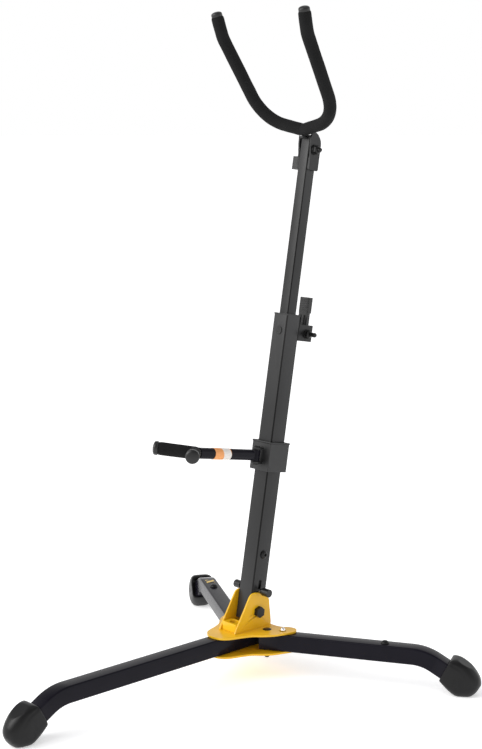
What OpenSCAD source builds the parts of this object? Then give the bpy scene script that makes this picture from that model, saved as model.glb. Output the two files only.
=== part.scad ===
// Folding stand for a low saxophone: three legs, a leaning two-stage mast,
// a sliding lower support and a padded cradle. Millimetres, +Z up, front = -Y.
// The origin is on the floor under the middle of the stand.

/* [Legs] */
// outside width of the square leg tubes
leg_w = 22; // [18:1:28]
// wall of every square tube
tube_wall = 1.5; // [1:0.25:2.5]
// height of the underside of the legs over the floor
leg_clearance = 35; // [30:1:60]
// hub centre to the middle of the front foot pad
front_reach = 357; // [280:1:460]
// hub centre to the middle of each rear foot pad
rear_reach = 294; // [240:1:400]
// angle of each rear leg from straight back
rear_angle = 60; // [50:1:70]
// how far the leg ends turn down
leg_drop = 30; // [20:1:40]
// centre-line radius of the bend in the legs
leg_bend = 60; // [45:1:90]
// width of the rubber foot caps
foot_w = 33; // [30:1:44]

/* [Hub] */
// thickness of the two hub plates
plate_t = 2.5; // [2:0.5:4]
// sideways place of the rear leg pivots
pivot_x = 28; // [26:1:36]
// place of the rear leg pivots behind the hub centre
pivot_y = 17; // [12:1:24]
// diameter of the pivot bolts
bolt_d = 8; // [6:1:10]

/* [Mast] */
// outside width of the lower mast tube
mast_w = 25; // [25:1:30]
// lower tube length above its pivot
mast_len = 393; // [330:1:520]
// how far the mast leans back
mast_lean = 10; // [4:1:14]
// place of the mast pivot behind the hub centre
mast_y = 12.5; // [8:0.5:18]
// height of the mast pivot over the top plate
mast_up = 22; // [20:1:30]
// outside width of the upper mast tube
upper_w = 16; // [14:1:18]
// upper tube showing above the lower one
upper_out = 237; // [190:1:300]
// upper tube hidden in the lower one
upper_in = 140; // [120:1:180]

/* [Lower support] */
// height of the sliding collar's middle along the mast
collar_at = 205; // [150:1:260]
// height of the collar
collar_h = 39; // [36:1:60]
// wall of the collar
collar_wall = 4.5; // [3:0.5:8]
// diameter of the support arm
arm_d = 14.5; // [10:0.5:15]
// mast centre line to the fork of the arm
arm_reach = 134; // [100:1:180]
// length of each fork prong
prong_len = 50; // [40:1:80]
// half the opening angle of the fork
prong_angle = 45; // [35:1:55]

/* [Cradle] */
// diameter of the foam sleeves
foam_d = 17; // [14:0.5:22]
// diameter of the rods inside the foam
rod_d = 8; // [6:0.5:10]
// half the inside run of the cradle bottom
cradle_run = 34; // [28:1:50]
// radius of the two cradle corners
cradle_bend = 50; // [40:1:70]
// length of the straight cradle arms
cradle_arm = 84; // [60:1:120]
// length of the turned-back cradle tips
cradle_tip = 36; // [26:1:50]
// forward tilt of the cradle from upright
cradle_tilt = 31; // [20:1:40]

/* [Hidden] */
$fn = 64;
gap = 0.3;
lap = 0.003;
bead = 0.4;
sq_in = leg_w - 2 * tube_wall;
leg_top = leg_clearance + leg_w;
leg_mid = leg_clearance + leg_w / 2;
top_plate = leg_top + gap;
plate_top = top_plate + plate_t;
bottom_plate = leg_clearance - gap - plate_t;
pivot_out = pivot_x * sin(rear_angle) + pivot_y * cos(rear_angle);
rear_len = rear_reach - pivot_out;
foot_back = 67;
foot_tip = 21.5;
front_in = -23;
leg_in = -bolt_d;
rivets = [3, 17];
rest_front = -25.5;
rest_back = -8.5;
rest_y = -16;
y_front = front_reach + foot_tip;
y_rear = rear_reach * cos(rear_angle) + 22;
y_mid = (y_front - y_rear) / 2;
mast_z = plate_top + mast_up;
web_t = 2;
cheek_t = 2.5;
cheek_in = mast_w / 2 + 0.6;
mast_in = mast_w - 2 * tube_wall;
stop_h = 11.5;
pin_at = 27.5;
pin_d = 5;
ear_at = mast_len - 32;
ear_h = 22;
ear_back = mast_w / 2 + 25.5;
cam_at = mast_len - 22;
cam_y = mast_w / 2 + 16;
shoe_at = mast_len - 28;
flange_t = 2;
upper_top = mast_len + upper_out;
head_at = upper_top - 15;
lip_at = upper_top + 2.3;
lip_out = 9.6;
cheek_x = upper_w / 2 + 1.2;
collar_in = mast_w + 2 * gap;
collar_w = collar_in + 2 * collar_wall;
arm_pin = collar_w / 2 + arm_d / 2 + 1;
arm_end = arm_reach - 6;
u_at = upper_top + 9.1;
post_in = upper_top + 0.3;
latch_at = head_at - 18.5;
u_y = 14.4;
v_tilt = 14;
u_open = 85;
tip_turn = 15;
tip_bend = 40;
p1 = [cradle_run * cos(v_tilt), cradle_run * sin(v_tilt)];
pc = p1 + cradle_bend * [-sin(v_tilt), cos(v_tilt)];
p2 = pc + cradle_bend * [sin(u_open), -cos(u_open)];
p3 = p2 + cradle_arm * [cos(u_open), sin(u_open)];
tip_len = cradle_tip - tip_bend * sin(tip_turn);

black = [0.11, 0.11, 0.12];
grey = [0.40, 0.40, 0.41];
yellow = [0.94, 0.74, 0.12];
rubber = [0.17, 0.17, 0.18];
foam = [0.13, 0.13, 0.13];
steel = [0.75, 0.76, 0.78];

// ---- frames ---------------------------------------------------------------

module hub_frame() {
    translate([0, y_mid, 0]) children();
}

// local +Z runs up the mast, -Y is its front, the origin is its pivot
module mast_frame() {
    hub_frame() translate([0, mast_y, mast_z]) rotate([-mast_lean, 0, 0]) children();
}

// local +X runs out along a rear leg from its pivot; side is 1 or -1
module rear_frame(side) {
    turn = side > 0 ? 90 - rear_angle : 90 + rear_angle;
    hub_frame() translate([side * pivot_x, pivot_y, 0]) rotate([0, 0, turn]) children();
}

module front_frame() {
    hub_frame() rotate([0, 0, -90]) children();
}

// local +X runs out along the support arm
module arm_frame() {
    mast_frame() translate([0, 0, collar_at]) rotate([0, 0, -90]) children();
}

// local XZ is the cradle's plane, its origin the middle of the bottom
module cradle_frame() {
    mast_frame() translate([0, -u_y, u_at]) rotate([cradle_tilt + mast_lean, 0, 0]) children();
}

// ---- shared shapes --------------------------------------------------------

module ring_profile(w, wall) {
    difference() {
        square(w, center = true);
        square(w - 2 * wall, center = true);
    }
}

// extrudes a profile along +X
module along_x(len) {
    rotate([90, 0, 90]) linear_extrude(len) children();
}

// a bar lying along X with its ends at x = -len/2 and len/2
module cross_bar(len, d) {
    rotate([0, 90, 0]) cylinder(h = len, d = d, center = true);
}

module hex_bar(len, across) {
    rotate([0, 90, 0]) cylinder(h = len, d = across / cos(30), $fn = 6);
}

// square tube: straight, then bent down, then a short straight end
module bent_leg(start, run) {
    translate([start, 0, leg_mid]) along_x(run - start + lap) ring_profile(leg_w, tube_wall);
    translate([run, 0, leg_mid - leg_bend])
        rotate([90, 0, 0]) rotate([0, 0, 90 - leg_drop])
        rotate_extrude(angle = leg_drop) translate([leg_bend, 0]) ring_profile(leg_w, tube_wall);
    translate([run + leg_bend * sin(leg_drop), 0, leg_mid - leg_bend * (1 - cos(leg_drop))])
        rotate([0, leg_drop, 0]) translate([-lap, 0, 0])
        along_x(36) ring_profile(leg_w, tube_wall);
}

// rubber cap over a leg end; at is where the bend of the leg starts
module foot_cap(at) {
    end_x = at + leg_bend * sin(leg_drop);
    end_z = leg_mid - leg_bend * (1 - cos(leg_drop));
    difference() {
        hull() {
            translate([end_x, 0, end_z]) rotate([0, leg_drop, 0])
                translate([14, 0, 0]) along_x(4)
                square([foot_w - 2, leg_w + 8], center = true);
            translate([at + foot_back + 1, 0, 0]) cylinder(h = 3, d = foot_w - 9, $fn = 32);
            translate([at + foot_back + foot_tip - 17, 0, 20]) cylinder(h = 12, d = 34, center = true, $fn = 32);
            translate([at + foot_back - 1, 0, 34]) cylinder(h = 10, d = foot_w - 8, center = true, $fn = 32);
        }
        translate([end_x, 0, end_z]) rotate([0, leg_drop, 0])
            translate([-30, 0, 0]) along_x(66.2)
            square(leg_w + 0.1, center = true);
        for (i = [0:2])
            translate([at + foot_back - 8 + 8 * i, 0, -0.1])
                translate([0, -foot_w / 2, 0]) cube([2.5, foot_w, 1.1]);
    }
}

// three-lobed sheet; half outline mirrored about the middle
function smooth(p, n) = let (k = len(p)) [
    for (i = [0:k - 1]) for (j = [0:n - 1])
        let (t = j / n, a = p[(i + k - 1) % k], b = p[i], c = p[(i + 1) % k], d = p[(i + 2) % k])
        b + 0.5 * t * (c - a + t * (2 * a - 5 * b + 4 * c - d + t * (3 * (b - c) + d - a)))];

module plate_outline() {
    fx = leg_w / 2 + 11.5;
    px = pivot_x;
    py = pivot_y;
    half = [[fx * 0.4, -54], [fx * 0.68, -50.3], [fx * 0.9, -44.5], [fx + 1, -37], [fx + 5, -25],
            [px + 5, py - 30.5], [px + 14, py - 21], [px + 22, py - 10], [px + 27, py + 3],
            [px + 31, py + 16], [px + 30.3, py + 23.5], [px + 26, py + 28.7],
            [px + 19.5, py + 30], [px + 13, py + 27.5], [px + 7, py + 22.5], [px - 3, py + 19.5]];
    flip = [for (i = [len(half) - 1:-1:0]) [-half[i][0], half[i][1]]];
    difference() {
        polygon(smooth(concat([[0, -55]], half, [[0, py + 19.2]], flip), 4));
        for (s = [-1, 1]) translate([s * pivot_x, pivot_y]) circle(d = bolt_d + 0.1);
        translate([0, rest_y]) circle(d = 6.1);
        for (y = rivets) translate([0, y]) circle(d = 5.1);
    }
}

function ball_at(side) = [side * (pivot_x + 21.5 * sin(rear_angle)), pivot_y + 21.5 * cos(rear_angle)];

// half of the cradle's centre line, swept with a disc of diameter d; each
// joint between a straight and a bend is closed by a slightly larger bead
module cradle_half(d, tip) {
    $fn = 44;
    play = bead / 2;
    rotate([0, 90 - v_tilt, 0]) translate([0, 0, -6]) cylinder(h = cradle_run + 6 - play, d = d);
    translate([p1[0], 0, p1[1]]) sphere(d = d + bead);
    translate([pc[0], 0, pc[1]]) rotate([90, 0, 0]) rotate([0, 0, v_tilt - 90])
        rotate_extrude(angle = u_open - v_tilt) translate([cradle_bend, 0]) circle(d = d);
    translate([p2[0], 0, p2[1]]) rotate([0, 90 - u_open, 0]) {
        sphere(d = d + bead);
        translate([0, 0, play]) cylinder(h = cradle_arm - 2 * play, d = d);
    }
    cradle_tip_frame(0) {
        sphere(d = d + bead);
        translate([0, tip_bend, 0]) rotate([90, 0, 90]) rotate([0, 0, 180 - tip_turn])
            rotate_extrude(angle = tip_turn) translate([tip_bend, 0]) circle(d = d);
    }
    cradle_tip_frame(1) {
        sphere(d = d + bead);
        translate([0, 0, play]) cylinder(h = tip - play, d = d);
    }
}

// 0 = where an arm starts to turn back, 1 = where it has turned
module cradle_tip_frame(turned) {
    translate([p3[0], 0, p3[1]]) rotate([0, 90 - u_open, 0])
        translate(turned * [0, tip_bend * (1 - cos(tip_turn)), tip_bend * sin(tip_turn)])
        rotate([-turned * tip_turn, 0, 0]) children();
}

module right_of(x) {
    intersection() {
        children();
        translate([x, -150, -150]) cube([300, 300, 500]);
    }
}

// ---- hub ------------------------------------------------------------------

module hub_top_plate() {
    color(yellow) hub_frame() difference() {
        translate([0, 0, top_plate]) linear_extrude(plate_t) plate_outline();
        for (s = [-1, 1]) translate(concat(ball_at(s), [top_plate - 1])) cylinder(h = plate_t + 2, d = 8.6);
    }
}

module hub_bottom_plate() {
    color(yellow) hub_frame() translate([0, 0, bottom_plate])
        linear_extrude(plate_t) plate_outline();
}

module front_leg() {
    color(black) front_frame() difference() {
        bent_leg(front_in, front_reach - foot_back);
        translate([-rest_y, 0, 0]) cylinder(h = 90, d = 6.1);
        for (y = rivets) translate([-y, 0, 0]) cylinder(h = 90, d = 5.1);
    }
}

module front_foot() {
    color(rubber) front_frame() foot_cap(front_reach - foot_back);
}

module through_rivet(d, low, high, head) {
    translate([0, 0, low - 1.5]) cylinder(h = 1.5, d = head);
    translate([0, 0, low - 1.5]) cylinder(h = high - low + 3, d = d);
    translate([0, 0, high]) cylinder(h = 1.5, d = head);
}

module cheek_outline() {
    polygon([[27.5, -32], [26.6, -14], [24, -4.7], [20.8, 5.8], [18.2, 15.4], [16.2, 18.2],
             [13, 20.2], [7.5, 22.6], [3.5, 24], [0, 24.5], [-3.6, 25.1], [-8.4, 25.2],
             [-13, 24.2], [-16.4, 22.2], [-18.6, 19], [-24.9, 3], [-30.2, -9.7],
             [-35.6, -23], [-38.5, -32]]);
}

module mast_bracket() {
    color(yellow) {
        difference() {
            intersection() {
                mast_frame() for (s = [-1, 1])
                    translate([s * (cheek_in + cheek_t / 2) - cheek_t / 2, 0, 0])
                        along_x(cheek_t) cheek_outline();
                hub_frame() translate([-50, -80, plate_top]) cube([100, 200, 90]);
            }
            mast_frame() cross_bar(80, bolt_d + 0.1);
        }
        hub_frame() difference() {
            translate([-cheek_in - 0.5, rest_back + 0.5, plate_top])
                cube([2 * cheek_in + 1, 42 - rest_back - 8, web_t]);
            for (y = rivets) translate([0, y, 0]) cylinder(h = 90, d = 5.1);
        }
    }
}

module bracket_rivets() {
    color(steel) hub_frame() for (y = rivets) translate([0, y, 0])
        through_rivet(5, bottom_plate, plate_top + web_t, 9);
}

module fold_rest() {
    color(yellow) hub_frame() difference() {
        translate([-cheek_in + 0.1, rest_front, plate_top])
            cube([2 * cheek_in - 0.2, rest_back - rest_front, stop_h]);
        translate([0, rest_y, 0]) cylinder(h = 120, d = 6.1);
        translate([0, rest_y, plate_top + 3]) cylinder(h = 20, d = 11.4);
    }
}

module fold_rest_bolt() {
    color(steel) hub_frame() translate([0, rest_y, 0]) {
        translate([0, 0, bottom_plate - 4]) cylinder(h = plate_top + 3 - bottom_plate + 4, d = 6);
        translate([0, 0, plate_top + 3]) difference() {
            cylinder(h = 4.5, d = 10);
            translate([0, 0, 2]) cylinder(h = 4, d = 5, $fn = 6);
        }
        translate([0, 0, bottom_plate - 4]) cylinder(h = 4, d = 11, $fn = 6);
    }
}

module mast_pivot_bolt() {
    out = cheek_in + cheek_t;
    color(black) mast_frame() {
        translate([-out - 7, 0, 0]) rotate([0, 90, 0]) cylinder(h = 2 * out + 7, d = bolt_d);
        translate([out, 0, 0]) hex_bar(5.5, 13);
    }
}

module mast_pivot_nut() {
    out = cheek_in + cheek_t;
    color(black) mast_frame() difference() {
        translate([-out - 6, 0, 0]) hex_bar(6, 13);
        cross_bar(90, bolt_d + 0.06);
    }
}

module leg_pivot_bolt(side) {
    color(black) hub_frame() translate([side * pivot_x, pivot_y, 0]) {
        translate([0, 0, bottom_plate - 8]) cylinder(h = plate_top - bottom_plate + 8, d = bolt_d);
        translate([0, 0, bottom_plate - 10]) cylinder(h = 2, d1 = bolt_d - 4, d2 = bolt_d);
        translate([0, 0, plate_top]) cylinder(h = 0.5, d = bolt_d + 3.5);
        translate([0, 0, plate_top + 0.5]) cylinder(h = 0.6, d1 = bolt_d + 3.5, d2 = bolt_d);
        translate([0, 0, bottom_plate - 4.5]) cylinder(h = 4.5, d = 15, $fn = 6);
    }
}

module leg_pivot_bolt_right() { leg_pivot_bolt(1); }
module leg_pivot_bolt_left() { leg_pivot_bolt(-1); }

module detent_ball(side) {
    color(steel) hub_frame() translate(concat(ball_at(side), [top_plate + 3.5])) sphere(d = 7);
}

module detent_ball_right() { detent_ball(1); }
module detent_ball_left() { detent_ball(-1); }

// ---- rear legs ------------------------------------------------------------

module rear_leg(side) {
    color(black) rear_frame(side) difference() {
        bent_leg(leg_in, rear_len - foot_back);
        translate([0, 0, leg_clearance - 1]) cylinder(h = leg_w + 2, d = bolt_d + 0.14);
        translate([21.5, 0, leg_top - 4]) cylinder(h = 8, d = 5);
        translate([rear_len - 103, 0, leg_top - 4]) cylinder(h = 8, d = 5.1);
    }
}

module rear_leg_right() { rear_leg(1); }
module rear_leg_left() { rear_leg(-1); }

module rear_foot_right() {
    color(rubber) rear_frame(1) foot_cap(rear_len - foot_back);
}

module rear_foot_left() {
    color(rubber) rear_frame(-1) foot_cap(rear_len - foot_back);
}

module leg_bumper(side) {
    color(rubber) rear_frame(side) translate([rear_len - 103, 0, leg_top]) {
        translate([0, 0, -3]) cylinder(h = 4, d = 5);
        cylinder(h = 2, d = 11);
        translate([0, 0, 2]) cylinder(h = 2, d1 = 11, d2 = 6);
    }
}

module leg_bumper_right() { leg_bumper(1); }
module leg_bumper_left() { leg_bumper(-1); }

module leg_badge() {
    color(yellow) rear_frame(-1) translate([rear_len - 84, -6, leg_top])
        cube([14, 12, 0.4]);
}

// ---- mast -----------------------------------------------------------------

module lower_tube() {
    color(black) mast_frame() difference() {
        translate([0, 0, -12]) linear_extrude(mast_len + 12) ring_profile(mast_w, tube_wall);
        cross_bar(60, bolt_d + 0.14);
        for (z = [pin_at, pin_at + 11.5]) translate([0, 0, z]) cross_bar(60, pin_d + 0.14);
        translate([-30, -pin_d / 2 - 0.07, pin_at]) cube([60, pin_d + 0.14, 11.5]);
        translate([0, 0, 75]) rotate([0, 90, 0]) cylinder(h = 30, d = 5.1);
        translate([-7, 0, shoe_at - 0.2]) cube([14, 20, 12.4]);
        translate([0, -20, mast_len - 21]) rotate([-90, 0, 0]) cylinder(h = 15, d = 11.1);
        translate([0, -mast_w / 2, -12]) rotate([45, 0, 0]) cube([60, 7, 7], center = true);
    }
}

module stop_screw() {
    color(steel) mast_frame() translate([mast_w / 2, 0, 75]) rotate([0, 90, 0]) difference() {
        union() {
            translate([0, 0, -3]) cylinder(h = 4, d = 5);
            cylinder(h = 1.4, d = 11);
            translate([0, 0, 1.4]) cylinder(h = 1.8, d1 = 11, d2 = 6.5);
        }
        translate([0, 0, 1.6]) cylinder(h = 3, d = 4, $fn = 6);
    }
}

module lock_pin() {
    color(steel) mast_frame() translate([0, 0, pin_at]) cross_bar(54, pin_d);
}

module lock_pin_knobs() {
    color(black) mast_frame() translate([0, 0, pin_at]) for (s = [-1, 1]) {
        translate([s * 26.5, 0, 0]) difference() {
            cross_bar(11, 10.5);
            translate([-s * 2, 0, 0]) cross_bar(8, pin_d + 0.04);
        }
        translate([s * 19.5, 0, 0]) difference() {
            cross_bar(3, 8);
            cross_bar(5, pin_d + 0.04);
        }
    }
}

module tube_bush() {
    color(rubber) mast_frame() {
        difference() {
            union() {
                translate([0, 0, mast_len - 40])
                    linear_extrude(40) square(mast_in - 0.1, center = true);
                translate([0, 0, mast_len]) linear_extrude(flange_t) square(mast_w, center = true);
                translate([0, -mast_w / 2 - 0.8, mast_len - 21])
                    rotate([-90, 0, 0]) cylinder(h = 4, d = 11);
            }
            translate([0, 0, mast_len - 50]) linear_extrude(90) square(upper_w + 2 * gap, center = true);
            translate([-7.2, 0, shoe_at - 0.4]) cube([14.4, 20, 12.8]);
        }
    }
}

module clamp_bracket() {
    color(grey) mast_frame() difference() {
        union() {
            for (s = [-1, 1]) translate([s * (mast_w / 2 - 1.25) - 1.25, mast_w / 2, ear_at])
                cube([2.5, ear_back - mast_w / 2, ear_h]);
            translate([-mast_w / 2 + 1, mast_w / 2, ear_at]) cube([mast_w - 2, 2, ear_h]);
        }
        translate([-7, 0, shoe_at - 0.2]) cube([14, 30, 12.4]);
        translate([0, cam_y, cam_at]) cross_bar(60, 6.1);
    }
}

module clamp_bolt() {
    color(steel) mast_frame() translate([0, cam_y, cam_at]) {
        translate([-mast_w / 2 - 3, 0, 0]) rotate([0, 90, 0]) cylinder(h = mast_w + 18, d = 6);
        translate([mast_w / 2 + 15, 0, 0]) rotate([0, 90, 0]) cylinder(h = 1.2, d1 = 6, d2 = 4.4);
        translate([-mast_w / 2 - 3.5, 0, 0]) rotate([0, 90, 0]) cylinder(h = 3.5, d = 11);
    }
}

module clamp_nut() {
    color(steel) mast_frame() translate([mast_w / 2, cam_y, cam_at]) difference() {
        union() {
            rotate([0, 90, 0]) cylinder(h = 1.2, d = 13);
            translate([1.2, 0, 0]) hex_bar(4, 10);
            translate([5.2, 0, 0]) rotate([0, 90, 0]) cylinder(h = 1.6, d1 = 9.6, d2 = 7.4);
        }
        cross_bar(20, 6.04);
    }
}

module clamp_shoe() {
    color(black) mast_frame() translate([-6.9, upper_w / 2 + gap, shoe_at])
        cube([13.8, cam_y - 8.3 - upper_w / 2 - 2 * gap, 12]);
}

module clamp_lever() {
    w = mast_w - 5.6;
    color(black) mast_frame() translate([-w / 2, cam_y, cam_at]) difference() {
        union() {
            rotate([0, 90, 0]) cylinder(h = w, d = 16);
            translate([1.5, 0.5, 0]) cube([w - 3, 5, 30]);
            translate([1, 0.5, 28]) cube([w - 2, 6.2, 21]);
            for (i = [0:6]) for (y = [-0.1, 5.6]) translate([2, y, 29.2 + 2.8 * i]) cube([w - 4, 1.7, 1.3]);
        }
        cross_bar(80, 6.14);
        for (x = [w / 2 - 4.5, w / 2 + 2]) translate([x, -5, 12]) cube([2.5, 20, 13]);
    }
}

// ---- lower support --------------------------------------------------------

module collar() {
    color(rubber) mast_frame() translate([0, 0, collar_at]) difference() {
        union() {
            translate([0, 0, -collar_h / 2]) linear_extrude(collar_h) square(collar_w, center = true);
            translate([0, 0, collar_h / 2 - 2])
                linear_extrude(2) square(collar_w + 1.2, center = true);
            for (s = [-1, 1]) translate([-6, -arm_pin, s * (arm_d / 2 + 2.2) - 1.5]) {
                cube([12, arm_pin - collar_w / 2 + 1, 3]);
                translate([6, 0, 0]) cylinder(h = 3, d = 12);
            }
        }
        linear_extrude(collar_h + 10, center = true) square(collar_in, center = true);
        translate([0, -arm_pin, 0]) cylinder(h = 60, d = 5.1, center = true);
    }
}

module arm_pivot_pin() {
    color(steel) mast_frame() translate([0, -arm_pin, collar_at]) {
        cylinder(h = arm_d + 9, d = 5, center = true);
        for (s = [-1, 1]) translate([0, 0, s * (arm_d / 2 + 4.4)]) cylinder(h = 1.2, d = 8, center = true);
    }
}

module support_arm() {
    color(black) arm_frame() difference() {
        union() {
            translate([arm_pin, 0, 0]) cylinder(h = arm_d - 0.2, d = 11, center = true);
            translate([arm_pin, -4, -arm_d / 2 + 0.8]) cube([12, 8, arm_d - 1.6]);
            translate([arm_pin + 9, 0, 0]) rotate([0, 90, 0]) cylinder(h = arm_end - arm_pin - 9, d = arm_d);
        }
        translate([arm_pin, 0, 0]) cylinder(h = 60, d = 5.14, center = true);
        translate([arm_end + 0.1 - 12, 0, 0]) rotate([0, 90, 0]) cylinder(h = 20, d = rod_d + 0.1);
    }
}

module arm_band() {
    color([0.9, 0.5, 0.2]) arm_frame() translate([76, 0, 0]) rotate([0, 90, 0]) difference() {
        cylinder(h = 28, d = arm_d + 0.7);
        translate([0, 0, -1]) cylinder(h = 30, d = arm_d + 0.04);
    }
}

// one prong of the fork lies along local +Z
module prong_frame(side) {
    arm_frame() translate([arm_reach, 0, 0]) rotate([0, 90, side * prong_angle]) children();
}

module fork_rod() {
    color(steel) {
        for (s = [-1, 1]) prong_frame(s) cylinder(h = prong_len, d = rod_d);
        arm_frame() {
            translate([arm_reach, 0, 0]) sphere(d = rod_d + 1.6);
            translate([arm_end - 10, 0, 0]) rotate([0, 90, 0]) cylinder(h = arm_reach - arm_end + 10, d = rod_d);
        }
    }
}

module fork_foam(side) {
    color(foam) difference() {
        intersection() {
            prong_frame(side) translate([0, 0, -foam_d]) cylinder(h = prong_len + foam_d - 3, d = foam_d);
            mast_frame() translate([side > 0 ? 0.1 : -200.1, -400, collar_at - 50]) cube([200, 400, 100]);
        }
        prong_frame(side) translate([0, 0, -40]) cylinder(h = 120, d = rod_d + 0.1);
        arm_frame() translate([arm_reach, 0, 0]) sphere(d = rod_d + 1.8);
        arm_frame() translate([arm_end - 40, 0, 0]) rotate([0, 90, 0]) cylinder(h = 40.2, d = arm_d + 0.2);
        arm_frame() translate([arm_end - 1, 0, 0]) rotate([0, 90, 0]) cylinder(h = 7, d = rod_d + 0.1);
    }
}

module fork_foam_right() { fork_foam(1); }
module fork_foam_left() { fork_foam(-1); }

module end_cap(w) {
    difference() {
        union() {
            translate([0, 0, -3]) cylinder(h = 3.6, d = w);
            translate([0, 0, 0.6]) cylinder(h = 1.8, d1 = w, d2 = w - 3.4);
            translate([0, 0, 2.4]) cylinder(h = 1.6, d1 = w - 3.4, d2 = w - 8.5);
        }
        translate([0, 0, -4]) cylinder(h = 4.1, d = rod_d + 0.06);
    }
}

module fork_caps() {
    color(black) for (s = [-1, 1]) prong_frame(s) translate([0, 0, prong_len]) end_cap(foam_d + 1);
}

// ---- upper mast -----------------------------------------------------------

module upper_tube() {
    color(black) mast_frame() difference() {
        translate([0, 0, mast_len - upper_in])
            linear_extrude(upper_in + upper_out) ring_profile(upper_w, tube_wall);
        translate([0, 0, head_at]) cross_bar(40, 6.1);
    }
}

module upper_plug() {
    in_w = upper_w - 2 * tube_wall - 0.1;
    color(rubber) mast_frame() difference() {
        translate([0, 0, upper_top - 24]) linear_extrude(24) square(in_w, center = true);
        translate([0, 0, head_at]) cross_bar(40, 6.1);
    }
}

module head_bolt() {
    out = cheek_x + cheek_t;
    color(steel) mast_frame() translate([0, 0, head_at]) {
        translate([-out - 3, 0, 0]) rotate([0, 90, 0]) cylinder(h = 2 * out + 13, d = 6);
        translate([out + 10, 0, 0]) rotate([0, 90, 0]) cylinder(h = 1.4, d1 = 6, d2 = 4);
        translate([-out - 4.3, 0, 0]) rotate([0, 90, 0]) cylinder(h = 4, d = 7.6);
        translate([-out - 5.6, 0, 0]) rotate([0, 90, 0]) cylinder(h = 1.3, d1 = 4.6, d2 = 7.6);
    }
}

module head_nut() {
    out = cheek_x + cheek_t;
    color(black) mast_frame() translate([out + gap, 0, head_at]) difference() {
        union() {
            rotate([0, 90, 0]) cylinder(h = 1.6, d = 13.6);
            translate([1.6, 0, 0]) hex_bar(4, 10.4);
            translate([5.6, 0, 0]) rotate([0, 90, 0]) cylinder(h = 1.6, d1 = 10, d2 = 7.4);
        }
        cross_bar(20, 6.04);
    }
}

module head_bracket() {
    color(grey) mast_frame() difference() {
        union() {
            for (s = [-1, 1]) translate([s * (cheek_x + cheek_t / 2) - cheek_t / 2, 0, head_at])
                along_x(cheek_t) polygon([[-7, -27], [8.8, -27.5], [10.3, -25.8], [10.4, 8.3],
                                          [9.2, 13.3], [6.8, 17], [3.2, 20.5], [-1, 22.8],
                                          [-4.2, 22.8], [-6.6, 21.6], [-8.4, 19.6], [-lip_out, 15],
                                          [-9, 6], [-7, -6]]);
            translate([-cheek_x - 0.5, 0, 0]) along_x(2 * cheek_x + 1)
                polygon([[-lip_out, lip_at - 3.8], [-lip_out, lip_at - 1], [-7, lip_at + 1.4],
                         [6, lip_at + 1.4], [6, lip_at], [-7.4, lip_at], [-8.4, lip_at - 1.1],
                         [-8.4, lip_at - 3.8]]);
            translate([-3.5, -18, post_in - 2]) cube([7, 9.6, 2]);
            translate([-cheek_x - 0.5, upper_w / 2 + 0.8, head_at - 26]) cube([2 * cheek_x + 1, 1.6, 14]);
        }
        translate([0, 0, head_at]) cross_bar(60, 6.14);
        translate([-30, 0, latch_at]) rotate([0, 90, 0]) cylinder(h = 30, d = 4.1);
    }
}

module head_liner() {
    color(black) mast_frame() difference() {
        translate([-cheek_x + 0.05, -7, head_at - 25.5]) cube([2 * cheek_x - 0.1, upper_w / 2 + 7.7, 14.5]);
        translate([-upper_w / 2 - gap, -20, head_at - 40]) cube([upper_w + 2 * gap, upper_w / 2 + 20 + gap, 60]);
        translate([-30, 0, latch_at]) rotate([0, 90, 0]) cylinder(h = 30, d = 4.1);
    }
}

module head_latch() {
    out = cheek_x + cheek_t;
    color(black) mast_frame() translate([0, 0, latch_at]) {
        translate([-out - 1, 0, 0]) rotate([0, 90, 0]) cylinder(h = out + 1 - upper_w / 2 - gap, d = 4);
        translate([-out - gap - 10, -5, -8.7]) cube([10, 11, 17.4]);
        for (i = [0:3]) translate([-out - gap - 10.8, -4 + 2.6 * i, -7.7]) cube([1.2, 1.2, 15.4]);
    }
}

// ---- cradle ---------------------------------------------------------------

// the stud that carries the cradle rod on the head bracket's lip
module cradle_post(d) {
    mast_frame() translate([0, -u_y, post_in]) cylinder(h = u_at - post_in, d = d);
}

module cradle_rod() {
    color(steel) {
        cradle_frame() {
            right_of(bead / 4) cradle_half(rod_d, tip_len);
            mirror([1, 0, 0]) right_of(bead / 4) cradle_half(rod_d, tip_len);
            sphere(d = rod_d + 2 * bead);
        }
        cradle_post(7);
    }
}

module cradle_foam_right() {
    color(foam) difference() {
        cradle_frame() right_of(0.1) cradle_half(foam_d, tip_len - 3);
        cradle_frame() {
            cradle_half(rod_d + 0.2, tip_len + 5);
            sphere(d = rod_d + 3 * bead);
        }
        cradle_post(7.4);
    }
}

module cradle_foam_left() {
    color(foam) difference() {
        cradle_frame() mirror([1, 0, 0]) right_of(0.1) cradle_half(foam_d, tip_len - 3);
        cradle_frame() {
            mirror([1, 0, 0]) cradle_half(rod_d + 0.2, tip_len + 5);
            sphere(d = rod_d + 3 * bead);
        }
        cradle_post(7.4);
    }
}

module cradle_caps() {
    color(black) cradle_frame() {
        cradle_tip_frame(1) translate([0, 0, tip_len]) end_cap(foam_d - 2.5);
        mirror([1, 0, 0]) cradle_tip_frame(1) translate([0, 0, tip_len]) end_cap(foam_d - 2.5);
    }
}

// ---- drawing --------------------------------------------------------------

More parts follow.
